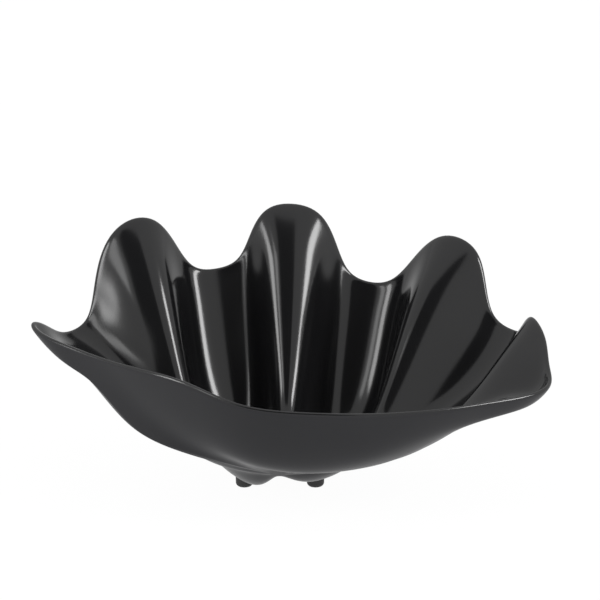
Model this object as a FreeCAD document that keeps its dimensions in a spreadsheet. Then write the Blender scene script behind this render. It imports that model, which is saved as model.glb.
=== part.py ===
import FreeCAD, Part
import math, os
import Sketcher
from FreeCAD import Vector

# Clam-shell serving bowl: one moulded shell standing on four rubber feet.
# +X runs along the length, +Y toward the tall fanned back, +Z up; the bench is Z = 0.
# The origin is under the middle of the bowl. All lengths are millimetres.

os.makedirs("parts", exist_ok=True)
doc = FreeCAD.newDocument("clam_bowl")

sheet = doc.addObject("Spreadsheet::Sheet", "dimensions")
DIMENSIONS = [
    ("shell_length", 437.0),
    ("shell_depth", 266.0),
    ("tip_height", 204.0),
    ("shell_lift", 3.0),
    ("wall_thickness", 3.5),
    ("rim_extra", 0.9),
    ("foot_top_radius", 8.0),
    ("foot_side_radius", 7.3),
    ("foot_flat_radius", 3.8),
    ("foot_edge_height", 3.7),
    ("foot_blank_height", 24.0),
    ("foot_front_y", -16.0),
    ("foot_rear_y", 36.0),
    ("foot_front_left_x", -36.5),
    ("foot_front_right_x", 23.5),
    ("foot_rear_left_x", -38.0),
    ("foot_rear_right_x", 38.0),
]
for number, (alias, value) in enumerate(DIMENSIONS, start=1):
    sheet.set("A%d" % number, alias)
    sheet.set("B%d" % number, "=%g mm" % value)
    sheet.setAlias("B%d" % number, alias)
doc.recompute()


def size(alias):
    """A driving dimension in millimetres, read back from the sheet."""
    return float(getattr(sheet, alias).Value)


# ---------------------------------------------------------------- the form of the shell
# The outside of the shell fans out from an umbo low on the front wall. A station number s
# runs once round the umbo: even numbers 0 to 8 are the five inward ridges that end in
# fingers, odd numbers -1 to 9 are the bulges between them, 9 to 15 is the plain front.
# The rows at the other stations only steer the end ridges, where the rim turns sharply.
# Each row gives the rim point and four heights on the way out to it, in form units that
# are scaled to the driving dimensions below.
UMBO = (-15.0, -58.0, 35.0)
UMBO_SLOPE = 0.85
HINGE_Y = -100.0
SPOT_RADIUS = 5.0
PERIOD = 16
BULGES = [
    (-1, (-159, -14, 118), (48, 60, 87, 106)),
    (0, (-215, 42, 122), (52, 61, 99, 106)),
    (1, (-199, 89, 112), (51, 60, 92, 100)),
    (3, (-73, 152, 153), (4, 6, 15, 108)),
    (5, (66, 157, 139), (8, 7, 14, 98)),
    (7, (191, 86, 115), (33, 41, 62, 92)),
    (8, (211, 32, 112), (36, 58, 77, 88)),
    (9, (214, -25, 98), (40, 73, 90, 79)),
    (10, (151, -68, 97), (38, 53, 74, 82)),
    (11, (87, -96, 99), (37, 48, 63, 81)),
    (12, (22, -107, 102), (38, 47, 65, 83)),
    (13, (-42, -97, 105), (42, 49, 65, 86)),
    (14, (-101, -63, 118), (46, 56, 74, 96)),
]
# the ridges also say how far sideways each height sits, because they bend as they drop
RIDGES = [
    (0, (-229, 46, 128), (51, 64, 110, 104), (0.44, 0.62, 0.79, 0.90)),
    (1, (-210, 87, 144), (42, 56, 103, 130), (0.41, 0.58, 0.74, 0.875)),
    (2, (-150, 125, 205), (31, 32, 94, 174), (0.43, 0.52, 0.69, 0.85)),
    (4, (-4, 166, 210), (36, 23, 88, 178), (0.36, 0.55, 0.73, 0.865)),
    (6, (149, 131, 186), (29, 27, 84, 158), (0.34, 0.47, 0.63, 0.81)),
    (8, (213, 42, 128), (43, 54, 87, 114), (0.42, 0.60, 0.78, 0.90)),
    (9, (206, -22, 100), (40, 72, 90, 81), (0.431, 0.666, 0.848, 0.943)),
]
BULGE_REACH = (0.30, 0.56, 0.79, 0.92)
RIDGE_REACH = (0.31, 0.55, 0.73, 0.865)
BULGE_SIDE = tuple(share ** 0.7 for share in BULGE_REACH)
TANGENT = 15.0


def joined(row):
    """One flat list per station: rim point, heights, then sideways shares if any."""
    values = []
    for group in row[1:]:
        values += list(group)
    return (row[0], values)


def wrapped(rows, before, after):
    """Repeats rows round the period so a curve through them closes smoothly."""
    head = [(s - PERIOD, values) for s, values in rows[-before:]]
    tail = [(s + PERIOD, values) for s, values in rows[:after]]
    return head + rows + tail


BULGE_ROWS = wrapped([joined(row) for row in BULGES], 4, 3)
# past the end ridges the ridge envelope runs on into the plain front
RIDGE_ROWS = [(-2, joined(BULGES[-1])[1] + list(BULGE_SIDE))]
RIDGE_ROWS += [joined(row) for row in RIDGES]
RIDGE_ROWS += [(10, values + list(BULGE_SIDE)) for s, values in map(joined, BULGES) if s == 10]


def through(rows, s):
    """Smooth curve through the rows (cubic, unevenly spaced)."""
    last = len(rows) - 1
    s = min(max(s, rows[0][0]), rows[last][0])
    i = 0
    while i < last - 1 and rows[i + 1][0] <= s:
        i += 1
    before, here = rows[max(i - 1, 0)], rows[i]
    there, after = rows[i + 1], rows[min(i + 2, last)]
    gap = there[0] - here[0]
    t = (s - here[0]) / gap
    h00 = 2 * t ** 3 - 3 * t ** 2 + 1
    h10 = t ** 3 - 2 * t ** 2 + t
    h01 = 3 * t ** 2 - 2 * t ** 3
    h11 = t ** 3 - t ** 2
    values = []
    for a, b, c, d in zip(before[1], here[1], there[1], after[1]):
        leave = (c - a) / (there[0] - before[0])
        arrive = (d - b) / (after[0] - here[0])
        values.append(h00 * b + h10 * gap * leave + h01 * c + h11 * gap * arrive)
    return values


def clamped_cubic(points, v):
    """Point at v (0 to 1) of the clamped cubic B-spline with these control points."""
    spans = len(points) - 3
    knots = [0.0] * 3 + [i / spans for i in range(spans + 1)] + [1.0] * 3
    v = min(max(v, 0.0), 1.0 - 1e-9)
    k = 3 + int(v * spans)
    work = [list(points[j + k - 3]) for j in range(4)]
    for r in range(1, 4):
        for j in range(3, r - 1, -1):
            i = j + k - 3
            a = (v - knots[i]) / (knots[i + 4 - r] - knots[i])
            work[j] = [(1 - a) * p + a * q for p, q in zip(work[j - 1], work[j])]
    return work[3]


def soft_step(t):
    t = min(max(t, 0.0), 1.0)
    return t * t * (3 - 2 * t)


def aim_y(s):
    """Where the stations aim from: the hinge for the fan, the umbo for the front."""
    fan = 1.0
    if s > 7:
        fan = 1 - soft_step((s - 7) / 3.5)
    if s < 1:
        fan = soft_step((s + 2.5) / 3.5)
    return UMBO[1] + (HINGE_Y - UMBO[1]) * fan


def outside_point(s, v):
    """Point on the outside of the shell: v is 0 at the umbo and 1 at the rim."""
    s = (s + 3.5) % PERIOD - 3.5
    fluted = -1 <= s <= 9
    wave = math.cos(math.pi * s)
    blunt = 0.1 + 0.5 * v
    ridge = 0.5 * (1 + (1 - blunt) * wave + blunt * math.sin(0.5 * math.pi * wave))
    # ridges are pinched narrow low down and widen into fingers at the rim
    pinch = -0.74 * (1 - v ** 4) * soft_step(v / 0.45)
    lean = 0.30 * v
    shift = pinch / math.pi * math.sin(math.pi * s)
    shift += lean / (2 * math.pi) * math.sin(2 * math.pi * s)
    if not fluted:
        ridge, shift = 0.0, 0.0
    at = s + shift
    values = through(BULGE_ROWS, at)
    reach, side = BULGE_REACH, BULGE_SIDE
    if ridge > 0:
        crest = through(RIDGE_ROWS, at)
        values = [p + ridge * (q - p) for p, q in zip(values, crest)]
        reach = [p + ridge * (q - p) for p, q in zip(BULGE_REACH, RIDGE_REACH)]
        side = [p + ridge * (q - p) for p, q in zip(BULGE_SIDE, crest[7:])]
    rim_x, rim_y, rim_z = values[:3]
    start_y = aim_y(at)
    line = [(UMBO[0] + w * (rim_x - UMBO[0]), start_y + k * (rim_y - start_y), z)
            for w, k, z in zip(side, reach, values[3:7])]
    dx = line[0][0] - UMBO[0]
    dy = line[0][1] - UMBO[1]
    away = math.hypot(dx, dy)
    t = min(TANGENT, 0.6 * away) / away
    lead = (UMBO[0] + t * dx, UMBO[1] + t * dy, UMBO[2] - UMBO_SLOPE * t * dy)
    return clamped_cubic([UMBO, lead] + line + [(rim_x, rim_y, rim_z)], v)


def spot_point(s, radius):
    """Point on the small flat spot at the umbo, seen from station s."""
    x, y, z = outside_point(s, 0.06)
    dx = x - UMBO[0]
    dy = y - UMBO[1]
    t = radius / math.hypot(dx, dy)
    return (UMBO[0] + t * dx, UMBO[1] + t * dy, UMBO[2] - UMBO_SLOPE * t * dy)


def minus(a, b):
    return (a[0] - b[0], a[1] - b[1], a[2] - b[2])


def moved_inward(grid, distance):
    """Offsets every grid point along the surface normal, to the inside of the bowl."""
    rows = len(grid)
    cols = len(grid[0])
    result = []
    for i in range(rows):
        row = []
        for j in range(cols):
            along = minus(grid[(i + 1) % rows][j], grid[(i - 1) % rows][j])
            out = minus(grid[i][min(j + 1, cols - 1)], grid[i][max(j - 1, 0)])
            nx = along[1] * out[2] - along[2] * out[1]
            ny = along[2] * out[0] - along[0] * out[2]
            nz = along[0] * out[1] - along[1] * out[0]
            d = distance[j] / math.sqrt(nx * nx + ny * ny + nz * nz)
            x, y, z = grid[i][j]
            row.append((x + d * nx, y + d * ny, z + d * nz))
        result.append(row)
    return result


# ---------------------------------------------------------------- sampled control net
PER_FOLD = 14
FRONT = 28
ROWS = 20
stations = [2 * i / PER_FOLD - 1 for i in range(5 * PER_FOLD)]
stations += [9 + 6 * i / FRONT for i in range(FRONT)]
levels = [0.10 + 0.86 * i / (ROWS - 1) for i in range(ROWS)] + [0.985, 1.0]
outside = []
for s in stations:
    row = [spot_point(s, SPOT_RADIUS), spot_point(s, 1.5 * SPOT_RADIUS)]
    outside.append(row + [outside_point(s, v) for v in levels])

# scale the form to the driving dimensions, with the middle of the bowl on the Z axis
xs = [row[-1][0] for row in outside]
ys = [row[-1][1] for row in outside]
zs = [row[-1][2] for row in outside]
scale_x = size("shell_length") / (max(xs) - min(xs))
scale_y = size("shell_depth") / (max(ys) - min(ys))
scale_z = size("tip_height") / max(zs)
lift = size("shell_lift")
mid_x = 0.5 * (max(xs) + min(xs))
mid_y = 0.5 * (max(ys) + min(ys))
outside = [[((x - mid_x) * scale_x, (y - mid_y) * scale_y, z * scale_z + lift)
            for x, y, z in row]
           for row in outside]

wall = size("wall_thickness")
thickness = [wall] * (ROWS + 2) + [wall + 0.6 * size("rim_extra"), wall + size("rim_extra")]
inside = moved_inward(outside, thickness)


def rounded_edge(outer, outer_before, inner):
    """Control point that rounds the rim from the outer edge over to the inner edge."""
    run = minus(outer, outer_before)
    reach = 0.5 * wall / math.sqrt(sum(c * c for c in run))
    return tuple(0.5 * (p + q) + reach * c for p, q, c in zip(outer, inner, run))


net = []
for outer_row, inner_row in zip(outside, inside):
    edge = rounded_edge(outer_row[-1], outer_row[-2], inner_row[-1])
    net.append([Vector(*p) for p in outer_row + [edge] + inner_row[::-1]])

around = len(net)
across = len(net[0])
surface = Part.BSplineSurface()
surface.buildFromPolesMultsKnots(
    net,
    [1] * (around + 1),
    [4] + [1] * (across - 4) + [4],
    [float(i) for i in range(around + 1)],
    [float(i) for i in range(across - 2)],
    True, False, 3, 3)
skin = surface.toShape()
caps = []
for edge in skin.Edges:
    if edge.isClosed() and edge.Length < 12 * SPOT_RADIUS:
        caps.append(Part.Face(Part.Wire([edge])))
joined_skin = Part.Shell([skin] + caps)
joined_skin.sewShape()
solid = Part.Solid(joined_skin)
if solid.Volume < 0:
    solid.reverse()
bowl = doc.addObject("Part::Feature", "shell_bowl")
bowl.Label = "shell_bowl"
bowl.Shape = solid
bowl.Placement = FreeCAD.Placement()

# the underside where the feet sit, raised into a block that trims the tops of the feet
LOW_FOLD, HIGH_FOLD = 0.45 * PER_FOLD, 4.05 * PER_FOLD
seat = doc.addObject("Part::Feature", "seat_face")
seat.Label = "seat_face"
seat.Shape = surface.toShape(LOW_FOLD, HIGH_FOLD, 2.5, 14.0)
block = doc.addObject("Part::Extrusion", "seat_block")
block.Label = "seat_block"
block.Base = seat
block.DirMode = "Custom"
block.Dir = Vector(0, 0, 1)
block.LengthFwd = 60.0
block.Solid = True


# ---------------------------------------------------------------- the rubber feet
def plane_of(body, role):
    for feature in body.Origin.OriginFeatures:
        if feature.Role == role:
            return feature
    raise RuntimeError("no plane " + role)


def foot_blank(name):
    """A turned rubber foot, taller than needed, standing on the bench at the origin."""
    body = doc.addObject("PartDesign::Body", name + "_blank")
    body.Label = name + "_blank"
    sketch = body.newObject("Sketcher::SketchObject", name + "_profile")
    sketch.AttachmentSupport = [(plane_of(body, "XZ_Plane"), "")]
    sketch.MapMode = "FlatFace"
    flat = size("foot_flat_radius")
    side = size("foot_side_radius")
    top = size("foot_top_radius")
    edge = size("foot_edge_height")
    high = size("foot_blank_height")
    corners = [(0, 0), (flat, 0), (side, edge), (top, high), (0, high)]
    points = [Vector(x, y, 0) for x, y in corners]
    # the lower edge is an arc that leaves the flat underside smoothly
    bend = ((side - flat) ** 2 + edge ** 2) / (2 * edge)
    circle = Part.Circle(Vector(flat, bend, 0), Vector(0, 0, 1), bend)
    finish = math.atan2(edge - bend, side - flat)
    lines = []
    for a, b in zip(points, points[1:] + points[:1]):
        outline = Part.LineSegment(a, b)
        if a == points[1]:
            outline = Part.ArcOfCircle(circle, -0.5 * math.pi, finish)
        lines.append(sketch.addGeometry(outline, False))
    sketch.addConstraint(Sketcher.Constraint("Tangent", lines[0], 2, lines[1], 1))
    for i in range(1, 5):
        sketch.addConstraint(Sketcher.Constraint("Coincident", lines[i], 2, lines[(i + 1) % 5], 1))
    sketch.addConstraint(Sketcher.Constraint("Coincident", lines[0], 1, -1, 1))
    sketch.addConstraint(Sketcher.Constraint("Horizontal", lines[0]))
    sketch.addConstraint(Sketcher.Constraint("Horizontal", lines[3]))
    sketch.addConstraint(Sketcher.Constraint("Vertical", lines[4]))
    driven = [
        ("DistanceX", lines[0], 1, lines[0], 2, flat, "foot_flat_radius"),
        ("DistanceX", lines[0], 1, lines[1], 2, side, "foot_side_radius"),
        ("DistanceY", lines[0], 1, lines[1], 2, edge, "foot_edge_height"),
        ("DistanceX", lines[0], 1, lines[2], 2, top, "foot_top_radius"),
        ("DistanceY", lines[0], 1, lines[2], 2, high, "foot_blank_height"),
    ]
    for kind, g1, p1, g2, p2, value, alias in driven:
        index = sketch.addConstraint(Sketcher.Constraint(kind, g1, p1, g2, p2, value))
        sketch.setExpression("Constraints[%d]" % index, "dimensions." + alias)
    turned = body.newObject("PartDesign::Revolution", name + "_turned")
    turned.Profile = sketch
    turned.ReferenceAxis = (sketch, ["V_Axis"])
    turned.Angle = 360.0
    return body


FEET = [
    ("foot_front_left", "foot_front_left_x", "foot_front_y"),
    ("foot_front_right", "foot_front_right_x", "foot_front_y"),
    ("foot_rear_left", "foot_rear_left_x", "foot_rear_y"),
    ("foot_rear_right", "foot_rear_right_x", "foot_rear_y"),
]
feet = []
for name, x_alias, y_alias in FEET:
    blank = foot_blank(name)
    blank.setExpression("Placement.Base.x", "dimensions." + x_alias)
    blank.setExpression("Placement.Base.y", "dimensions." + y_alias)
    foot = doc.addObject("Part::Cut", name)
    foot.Label = name
    foot.Base = blank
    foot.Tool = block
    feet.append(foot)

doc.recompute()

# ---------------------------------------------------------------- checks and export
for obj in doc.Objects:
    if "Invalid" in obj.State or "Error" in obj.State:
        raise RuntimeError("%s is %s" % (obj.Label, obj.State))
for obj in [bowl] + feet:
    shape = obj.Shape
    if shape.isNull() or not shape.isValid() or len(shape.Solids) != 1:
        raise RuntimeError("%s has no single valid solid" % obj.Label)
    shape.exportStep("parts/%s.step" % obj.Label)
    box = shape.optimalBoundingBox(False)
    print("%s volume %.1f mm3, box %.1f %.1f %.1f to %.1f %.1f %.1f" % (
        obj.Label, shape.Volume, box.XMin, box.YMin, box.ZMin, box.XMax, box.YMax, box.ZMax))
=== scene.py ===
import bpy
import math
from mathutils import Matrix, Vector


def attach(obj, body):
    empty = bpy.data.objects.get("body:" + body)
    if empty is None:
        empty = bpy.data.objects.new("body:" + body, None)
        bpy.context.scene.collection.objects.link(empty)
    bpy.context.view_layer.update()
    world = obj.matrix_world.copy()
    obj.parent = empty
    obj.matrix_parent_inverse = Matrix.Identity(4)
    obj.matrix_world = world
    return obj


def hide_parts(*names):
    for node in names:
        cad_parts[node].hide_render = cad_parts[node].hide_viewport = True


# A glossy black clam-shell serving bowl on four small rubber feet. Everything is in metres
# in the CAD frame: +X along the length, +Y toward the tall fanned back, +Z up. The shell's
# control net is worked out in millimetres and scaled by MM when it becomes a mesh.

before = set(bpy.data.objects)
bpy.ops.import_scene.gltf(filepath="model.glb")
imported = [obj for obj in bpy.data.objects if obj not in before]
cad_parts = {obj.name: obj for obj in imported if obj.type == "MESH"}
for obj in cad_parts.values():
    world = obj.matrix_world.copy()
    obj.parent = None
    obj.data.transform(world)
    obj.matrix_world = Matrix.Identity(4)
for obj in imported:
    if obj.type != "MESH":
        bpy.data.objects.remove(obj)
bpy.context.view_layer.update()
MM = 0.001

# ---------------------------------------------------------------- the form of the shell
# The outside of the shell fans out from an umbo low on the front wall. A station number s
# runs once round the umbo: even numbers 0 to 8 are the five inward ridges that end in
# fingers, odd numbers -1 to 9 are the bulges between them, 9 to 15 is the plain front.
# Each row gives the rim point and four heights on the way out to it, in form units that
# are scaled to the CAD shell's size below. The rows at the other stations only steer the
# end ridges, where the rim turns sharply.
WALL = 3.5
RIM_EXTRA = 0.9
UMBO = (-15.0, -58.0, 35.0)
UMBO_SLOPE = 0.85
HINGE_Y = -100.0
SPOT_RADIUS = 5.0
PERIOD = 16
FIRST_BULGE = -1
LAST_BULGE = 9
# station numbers are wrapped to start at -SEAM, in the middle of the plain front
SEAM = 3.5
BULGES = [
    (-1, (-159, -14, 118), (48, 60, 87, 106)),
    (0, (-215, 42, 122), (52, 61, 99, 106)),
    (1, (-199, 89, 112), (51, 60, 92, 100)),
    (3, (-73, 152, 153), (4, 6, 15, 108)),
    (5, (66, 157, 139), (8, 7, 14, 98)),
    (7, (191, 86, 115), (33, 41, 62, 92)),
    (8, (211, 32, 112), (36, 58, 77, 88)),
    (9, (214, -25, 98), (40, 73, 90, 79)),
    (10, (151, -68, 97), (38, 53, 74, 82)),
    (11, (87, -96, 99), (37, 48, 63, 81)),
    (12, (22, -107, 102), (38, 47, 65, 83)),
    (13, (-42, -97, 105), (42, 49, 65, 86)),
    (14, (-101, -63, 118), (46, 56, 74, 96)),
]
# the ridges also say how far sideways each height sits, because they bend as they drop
RIDGES = [
    (0, (-229, 46, 128), (51, 64, 110, 104), (0.44, 0.62, 0.79, 0.90)),
    (1, (-210, 87, 144), (42, 56, 103, 130), (0.41, 0.58, 0.74, 0.875)),
    (2, (-150, 125, 205), (31, 32, 94, 174), (0.43, 0.52, 0.69, 0.85)),
    (4, (-4, 166, 210), (36, 23, 88, 178), (0.36, 0.55, 0.73, 0.865)),
    (6, (149, 131, 186), (29, 27, 84, 158), (0.34, 0.47, 0.63, 0.81)),
    (8, (213, 42, 128), (43, 54, 87, 114), (0.42, 0.60, 0.78, 0.90)),
    (9, (206, -22, 100), (40, 72, 90, 81), (0.431, 0.666, 0.848, 0.943)),
]
BULGE_REACH = (0.30, 0.56, 0.79, 0.92)
RIDGE_REACH = (0.31, 0.55, 0.73, 0.865)
BULGE_SIDE = tuple(share ** 0.7 for share in BULGE_REACH)
TANGENT = 15.0
# fingers get flatter tips toward the rim, from BLUNT_LOW at the umbo by BLUNT_GAIN
BLUNT_LOW = 0.1
BLUNT_GAIN = 0.5
# ridges are pinched narrow low down, from PINCH_FROM of the way out, and lean to one side
PINCH = 0.74
PINCH_FROM = 0.45
LEAN = 0.30
# the fan aims from the hinge and the front from the umbo; the aim fades from one to the other
# past these two stations, over so many stations more
FAN_RIGHT = 7.0
FAN_LEFT = 1.0
FADE_RIGHT = 3.5
FADE_LEFT = 3.5


def joined(row):
    """One flat list per station: rim point, heights, then sideways shares if any."""
    values = []
    for group in row[1:]:
        values += list(group)
    return (row[0], values)


def wrapped(rows, before, after):
    """Repeats rows round the period so a curve through them closes smoothly."""
    head = [(s - PERIOD, values) for s, values in rows[-before:]]
    tail = [(s + PERIOD, values) for s, values in rows[:after]]
    return head + rows + tail


BULGE_ROWS = wrapped([joined(row) for row in BULGES], 4, 3)
# past the end ridges the ridge envelope runs on into the plain front
RIDGE_ROWS = [(-2, joined(BULGES[-1])[1] + list(BULGE_SIDE))]
RIDGE_ROWS += [joined(row) for row in RIDGES]
RIDGE_ROWS += [(10, values + list(BULGE_SIDE)) for s, values in map(joined, BULGES) if s == 10]


def through(rows, s):
    """Smooth curve through the rows (cubic, unevenly spaced)."""
    last = len(rows) - 1
    s = min(max(s, rows[0][0]), rows[last][0])
    i = 0
    while i < last - 1 and rows[i + 1][0] <= s:
        i += 1
    before, here = rows[max(i - 1, 0)], rows[i]
    there, after = rows[i + 1], rows[min(i + 2, last)]
    gap = there[0] - here[0]
    t = (s - here[0]) / gap
    h00 = 2 * t ** 3 - 3 * t ** 2 + 1
    h10 = t ** 3 - 2 * t ** 2 + t
    h01 = 3 * t ** 2 - 2 * t ** 3
    h11 = t ** 3 - t ** 2
    values = []
    for a, b, c, d in zip(before[1], here[1], there[1], after[1]):
        leave = (c - a) / (there[0] - before[0])
        arrive = (d - b) / (after[0] - here[0])
        values.append(h00 * b + h10 * gap * leave + h01 * c + h11 * gap * arrive)
    return values


def clamped_cubic(points, v):
    """Point at v (0 to 1) of the clamped cubic B-spline with these control points."""
    spans = len(points) - 3
    knots = [0.0] * 3 + [i / spans for i in range(spans + 1)] + [1.0] * 3
    v = min(max(v, 0.0), 1.0 - 1e-9)
    k = 3 + int(v * spans)
    work = [list(points[j + k - 3]) for j in range(4)]
    for r in range(1, 4):
        for j in range(3, r - 1, -1):
            i = j + k - 3
            a = (v - knots[i]) / (knots[i + 4 - r] - knots[i])
            work[j] = [(1 - a) * p + a * q for p, q in zip(work[j - 1], work[j])]
    return work[3]


def soft_step(t):
    """Eases from 0 to 1 as t goes from 0 to 1."""
    t = min(max(t, 0.0), 1.0)
    return t * t * (3 - 2 * t)


def aim_y(s):
    """Where the stations aim from: the hinge for the fan, the umbo for the front."""
    fan = 1.0
    if s > FAN_RIGHT:
        fan = 1 - soft_step((s - FAN_RIGHT) / FADE_RIGHT)
    if s < FAN_LEFT:
        fan = soft_step((s - FAN_LEFT + FADE_LEFT) / FADE_LEFT)
    return UMBO[1] + (HINGE_Y - UMBO[1]) * fan


def outside_point(s, v):
    """Point on the outside of the shell: v is 0 at the umbo and 1 at the rim."""
    s = (s + SEAM) % PERIOD - SEAM
    fluted = FIRST_BULGE <= s <= LAST_BULGE
    wave = math.cos(math.pi * s)
    blunt = BLUNT_LOW + BLUNT_GAIN * v
    ridge = 0.5 * (1 + (1 - blunt) * wave + blunt * math.sin(0.5 * math.pi * wave))
    pinch = PINCH * (1 - v ** 4) * soft_step(v / PINCH_FROM)
    lean = LEAN * v
    shift = -pinch / math.pi * math.sin(math.pi * s)
    shift += lean / (2 * math.pi) * math.sin(2 * math.pi * s)
    if not fluted:
        ridge, shift = 0.0, 0.0
    at = s + shift
    values = through(BULGE_ROWS, at)
    reach, side = BULGE_REACH, BULGE_SIDE
    if ridge > 0:
        crest = through(RIDGE_ROWS, at)
        values = [p + ridge * (q - p) for p, q in zip(values, crest)]
        reach = [p + ridge * (q - p) for p, q in zip(BULGE_REACH, RIDGE_REACH)]
        side = [p + ridge * (q - p) for p, q in zip(BULGE_SIDE, crest[7:])]
    rim_x, rim_y, rim_z = values[:3]
    start_y = aim_y(at)
    line = [(UMBO[0] + w * (rim_x - UMBO[0]), start_y + k * (rim_y - start_y), z)
            for w, k, z in zip(side, reach, values[3:7])]
    dx = line[0][0] - UMBO[0]
    dy = line[0][1] - UMBO[1]
    away = math.hypot(dx, dy)
    t = min(TANGENT, 0.6 * away) / away
    lead = (UMBO[0] + t * dx, UMBO[1] + t * dy, UMBO[2] - UMBO_SLOPE * t * dy)
    return clamped_cubic([UMBO, lead] + line + [(rim_x, rim_y, rim_z)], v)


def spot_point(s, radius):
    """Point on the small flat spot at the umbo, seen from station s."""
    x, y, z = outside_point(s, 0.06)
    dx = x - UMBO[0]
    dy = y - UMBO[1]
    t = radius / math.hypot(dx, dy)
    return (UMBO[0] + t * dx, UMBO[1] + t * dy, UMBO[2] - UMBO_SLOPE * t * dy)


def minus(a, b):
    return (a[0] - b[0], a[1] - b[1], a[2] - b[2])


def moved_inward(grid, distance):
    """Offsets every grid point along the surface normal, to the inside of the bowl."""
    rows = len(grid)
    cols = len(grid[0])
    result = []
    for i in range(rows):
        row = []
        for j in range(cols):
            along = minus(grid[(i + 1) % rows][j], grid[(i - 1) % rows][j])
            out = minus(grid[i][min(j + 1, cols - 1)], grid[i][max(j - 1, 0)])
            nx = along[1] * out[2] - along[2] * out[1]
            ny = along[2] * out[0] - along[0] * out[2]
            nz = along[0] * out[1] - along[1] * out[0]
            d = distance[j] / math.sqrt(nx * nx + ny * ny + nz * nz)
            x, y, z = grid[i][j]
            row.append((x + d * nx, y + d * ny, z + d * nz))
        result.append(row)
    return result


# ---------------------------------------------------------------- the shell's control net
PER_FOLD = 14
FRONT = 28
ROWS = 20
LENGTH = 437.0
DEPTH = 266.0
TIP_HEIGHT = 204.0
LIFT = 3.0
FIRST_LEVEL = 0.10
LEVEL_SPAN = 0.86
RIM_LEVELS = [0.985, 1.0]
folds = (LAST_BULGE - FIRST_BULGE) // 2
plain = PERIOD - (LAST_BULGE - FIRST_BULGE)
stations = [2 * i / PER_FOLD + FIRST_BULGE for i in range(folds * PER_FOLD)]
stations += [LAST_BULGE + plain * i / FRONT for i in range(FRONT)]
levels = [FIRST_LEVEL + LEVEL_SPAN * i / (ROWS - 1) for i in range(ROWS)] + RIM_LEVELS
outside = []
for s in stations:
    row = [spot_point(s, SPOT_RADIUS), spot_point(s, 1.5 * SPOT_RADIUS)]
    outside.append(row + [outside_point(s, v) for v in levels])
xs = [row[-1][0] for row in outside]
ys = [row[-1][1] for row in outside]
zs = [row[-1][2] for row in outside]
scale_x = LENGTH / (max(xs) - min(xs))
scale_y = DEPTH / (max(ys) - min(ys))
scale_z = TIP_HEIGHT / max(zs)
mid_x = 0.5 * (max(xs) + min(xs))
mid_y = 0.5 * (max(ys) + min(ys))
outside = [[((x - mid_x) * scale_x, (y - mid_y) * scale_y, z * scale_z + LIFT)
            for x, y, z in row]
           for row in outside]
thickness = [WALL] * (ROWS + 2) + [WALL + 0.6 * RIM_EXTRA, WALL + RIM_EXTRA]
inside = moved_inward(outside, thickness)


def rounded_edge(outer, outer_before, inner):
    """Control point that rounds the rim from the outer edge over to the inner edge."""
    run = minus(outer, outer_before)
    reach = 0.5 * WALL / math.sqrt(sum(c * c for c in run))
    return tuple(0.5 * (p + q) + reach * c for p, q, c in zip(outer, inner, run))


def link(obj):
    """Puts an object into the scene."""
    bpy.context.scene.collection.objects.link(obj)
    return obj


def shell_mesh():
    """The control net as one closed quad mesh; subdivision turns it into the CAD surface."""
    rings = []
    for outer_row, inner_row in zip(outside, inside):
        edge = rounded_edge(outer_row[-1], outer_row[-2], inner_row[-1])
        rings.append(outer_row + [edge] + inner_row[::-1])
    around = len(rings)
    across = len(rings[0])
    points = [tuple(c * MM for c in rings[i][j]) for j in range(across) for i in range(around)]
    faces = []
    for j in range(across - 1):
        for i in range(around):
            k = (i + 1) % around
            low, high = j * around, (j + 1) * around
            faces.append((low + i, high + i, high + k, low + k))
    faces.append(tuple(range(around)))
    faces.append(tuple(reversed(range((across - 1) * around, across * around))))
    mesh = bpy.data.meshes.new("clam_shell")
    mesh.from_pydata(points, [], faces)
    mesh.polygons.foreach_set("use_smooth", [True] * len(mesh.polygons))
    # the first rows of faces and the cap at the umbo are the outside skin: the second material
    skin = range(around * (len(outside[0]) - 1))
    for i in [*skin, len(faces) - 2]:
        mesh.polygons[i].material_index = 1
    mesh.update()
    return mesh


shell = link(bpy.data.objects.new("clam_shell", shell_mesh()))
smooth = shell.modifiers.new("smooth", "SUBSURF")
smooth.levels = 2
smooth.render_levels = 2

# ---------------------------------------------------------------- materials
# blue share of the black tints, against red and green
COOL = 1.08


def new_material(name):
    """A node material, with its tree and its main shader."""
    material = bpy.data.materials.new(name)
    material.use_nodes = True
    return material, material.node_tree, material.node_tree.nodes["Principled BSDF"]


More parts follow.
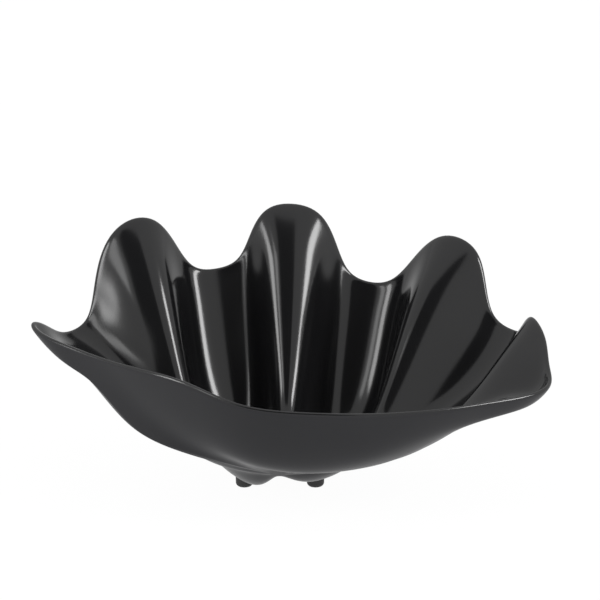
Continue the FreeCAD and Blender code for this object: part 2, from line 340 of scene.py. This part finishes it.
def moulded_black(name, specular, darkest, palest, smoothest, roughest):
    """Moulded black with a faint cool cast and a slight unevenness in the polish; the base
    colour runs from darkest to palest, and on the outside skin these are raised as a painted
    reflection of the pale floor.
    """
    material, tree, shader = new_material(name)
    nodes, links = tree.nodes, tree.links
    shader.inputs["IOR"].default_value = 1.4
    shader.inputs["Specular IOR Level"].default_value = specular
    coords = nodes.new("ShaderNodeTexCoord")
    cloud = nodes.new("ShaderNodeTexNoise")
    cloud.inputs["Scale"].default_value = 9.0
    cloud.inputs["Detail"].default_value = 3.0
    links.new(coords.outputs["Object"], cloud.inputs["Vector"])
    tint = nodes.new("ShaderNodeValToRGB")
    tint.color_ramp.elements[0].position = 0.3
    tint.color_ramp.elements[0].color = (darkest, darkest, COOL * darkest, 1)
    tint.color_ramp.elements[1].position = 0.7
    tint.color_ramp.elements[1].color = (palest, palest, COOL * palest, 1)
    links.new(cloud.outputs["Fac"], tint.inputs["Fac"])
    links.new(tint.outputs["Color"], shader.inputs["Base Color"])
    polish = nodes.new("ShaderNodeTexNoise")
    polish.inputs["Scale"].default_value = 14.0
    polish.inputs["Detail"].default_value = 1.0
    links.new(coords.outputs["Object"], polish.inputs["Vector"])
    rough = nodes.new("ShaderNodeMapRange")
    rough.inputs["To Min"].default_value = smoothest
    rough.inputs["To Max"].default_value = roughest
    links.new(polish.outputs["Fac"], rough.inputs["Value"])
    links.new(rough.outputs["Result"], shader.inputs["Roughness"])
    bump = nodes.new("ShaderNodeBump")
    bump.inputs["Strength"].default_value = 0.5
    bump.inputs["Distance"].default_value = 0.0004
    links.new(polish.outputs["Fac"], bump.inputs["Height"])
    links.new(bump.outputs["Normal"], shader.inputs["Normal"])
    return material


def black_rubber():
    """Matt black rubber with a fine grain."""
    material, tree, shader = new_material("black_rubber")
    nodes, links = tree.nodes, tree.links
    coords = nodes.new("ShaderNodeTexCoord")
    grain = nodes.new("ShaderNodeTexNoise")
    grain.inputs["Scale"].default_value = 900.0
    grain.inputs["Detail"].default_value = 4.0
    links.new(coords.outputs["Object"], grain.inputs["Vector"])
    tint = nodes.new("ShaderNodeValToRGB")
    tint.color_ramp.elements[0].color = (0.0060, 0.0060, 0.0060, 1)
    tint.color_ramp.elements[1].color = (0.0130, 0.0130, 0.0130, 1)
    links.new(grain.outputs["Fac"], tint.inputs["Fac"])
    links.new(tint.outputs["Color"], shader.inputs["Base Color"])
    rough = nodes.new("ShaderNodeMapRange")
    rough.inputs["To Min"].default_value = 0.55
    rough.inputs["To Max"].default_value = 0.75
    links.new(grain.outputs["Fac"], rough.inputs["Value"])
    links.new(rough.outputs["Result"], shader.inputs["Roughness"])
    bump = nodes.new("ShaderNodeBump")
    bump.inputs["Strength"].default_value = 0.25
    bump.inputs["Distance"].default_value = 0.0003
    links.new(grain.outputs["Fac"], bump.inputs["Height"])
    links.new(bump.outputs["Normal"], shader.inputs["Normal"])
    return material


# the inside and the rim are polished, the outside skin a shade less so; the outside's base
# colour is also about four times lighter than the inside's, a painted reflection of the pale
# floor in place of the gloss that its lower specular level takes away
gloss = moulded_black("gloss_black_melamine", 0.5, 0.0050, 0.0068, 0.13, 0.16)
# painted reflection: this outside copy of the same black gets a lighter base colour that stands
# in for the floor's reflection
satin_and_painted_sheen = moulded_black("satin_black_melamine_painted_sheen", 0.2, 0.0205, 0.0235, 0.30, 0.34)
rubber = black_rubber()
shell.data.materials.append(gloss)
shell.data.materials.append(satin_and_painted_sheen)
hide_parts("shell_bowl")
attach(shell, "root")
for name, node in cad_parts.items():
    if name.startswith("foot"):
        node.data.materials.clear()
        node.data.materials.append(rubber)

# ---------------------------------------------------------------- floor, light and camera


def pale(name, value, roughness, glow):
    """Plain studio white with a very faint unevenness, lit through from below by glow."""
    material, tree, shader = new_material(name)
    nodes, links = tree.nodes, tree.links
    coords = nodes.new("ShaderNodeTexCoord")
    noise = nodes.new("ShaderNodeTexNoise")
    noise.inputs["Scale"].default_value = 3.0
    links.new(coords.outputs["Object"], noise.inputs["Vector"])
    tint = nodes.new("ShaderNodeValToRGB")
    tint.color_ramp.elements[0].color = (value * 0.99, value * 0.99, value * 0.99, 1)
    tint.color_ramp.elements[1].color = (value, value, value, 1)
    links.new(noise.outputs["Fac"], tint.inputs["Fac"])
    links.new(tint.outputs["Color"], shader.inputs["Base Color"])
    shader.inputs["Roughness"].default_value = roughness
    shader.inputs["Specular IOR Level"].default_value = 0.0
    shader.inputs["Emission Color"].default_value = (1, 1, 1, 1)
    shader.inputs["Emission Strength"].default_value = glow
    return material


FLOOR_FRONT = -3.5
FLOOR_BACK = 2.6
BEND = 1.2
BEND_STEPS = 12
HALF_WIDTH = 4.0
BACKDROP_HEIGHT = 3.2


def sweep():
    """Floor that curves up into a backdrop behind the bowl."""
    line = [(FLOOR_FRONT, 0.0), (FLOOR_BACK - BEND, 0.0)]
    for i in range(1, BEND_STEPS + 1):
        a = math.radians(90 * i / BEND_STEPS)
        line.append((FLOOR_BACK - BEND + BEND * math.sin(a), BEND - BEND * math.cos(a)))
    line.append((FLOOR_BACK, BACKDROP_HEIGHT))
    points = [(x, y, z) for y, z in line for x in (-HALF_WIDTH, HALF_WIDTH)]
    faces = [(2 * i, 2 * i + 1, 2 * i + 3, 2 * i + 2) for i in range(len(line) - 1)]
    mesh = bpy.data.meshes.new("floor")
    mesh.from_pydata(points, [], faces)
    mesh.polygons.foreach_set("use_smooth", [True] * len(mesh.polygons))
    mesh.update()
    floor = link(bpy.data.objects.new("floor", mesh))
    floor.data.materials.append(pale("studio_white", 0.03, 0.9, 0.97))


sweep()


def flag(name, x0, x1, y, z0, z1):
    """A matt dark grey card behind the camera, the dark part of the studio in the gloss."""
    points = [(x0, y, z0), (x1, y, z0), (x1, y, z1), (x0, y, z1)]
    mesh = bpy.data.meshes.new(name)
    mesh.from_pydata(points, [], [(0, 1, 2, 3)])
    mesh.update()
    card = link(bpy.data.objects.new(name, mesh))
    card.data.materials.append(pale("flag_grey", 0.07, 1.0, 0.0))


flag("camera_side", -1.9, 1.0, -2.3, 1.25, 5.4)


# what the softboxes face, and how far they stand from it
MIDDLE = Vector((0.0, 0.0, 0.1))
AWAY = 2.0


def softbox(name, azimuth, elevation, width, height, radiance):
    """A softbox that faces the bowl from a bearing: 0 is the camera side, 90 is to the right."""
    turn = math.radians(azimuth)
    lift = math.radians(elevation)
    level = math.cos(lift)
    bearing = Vector((level * math.sin(turn), -level * math.cos(turn), math.sin(lift)))
    lamp = bpy.data.lights.new(name, "AREA")
    lamp.shape = "RECTANGLE"
    lamp.size = width
    lamp.size_y = height
    lamp.energy = radiance * math.pi * width * height
    obj = link(bpy.data.objects.new(name, lamp))
    obj.location = MIDDLE + AWAY * bearing
    obj.rotation_euler = (-bearing).to_track_quat("-Z", "Y").to_euler()


softbox("box_left", -72, 22, 0.4, 1.0, 10.0)
softbox("wing_left", -54, 34, 0.3, 0.8, 4.5)
softbox("box_right", 73, 29, 0.4, 0.9, 19.0)

world = bpy.data.worlds.new("studio")
bpy.context.scene.world = world
world.use_nodes = True
world.node_tree.nodes["Background"].inputs["Color"].default_value = (1, 1, 1, 1)
world.node_tree.nodes["Background"].inputs["Strength"].default_value = 1.2

# plain display colours, so that a white floor shows as white
bpy.context.scene.view_settings.view_transform = "Standard"

# the camera looks level with the length of the bowl, 16 degrees down
ELEVATION = math.radians(16.0)
DISTANCE = 1.944
AIM = (0.0104, 0.0005, 0.1585)
camera = bpy.data.cameras.new("camera")
camera.sensor_width = 36.0
camera.lens = 140.0
view = link(bpy.data.objects.new("camera", camera))
toward = Vector((0.0, math.cos(ELEVATION), -math.sin(ELEVATION)))
view.location = Vector(AIM) - DISTANCE * toward
view.rotation_euler = toward.to_track_quat("-Z", "Y").to_euler()
bpy.context.scene.camera = view
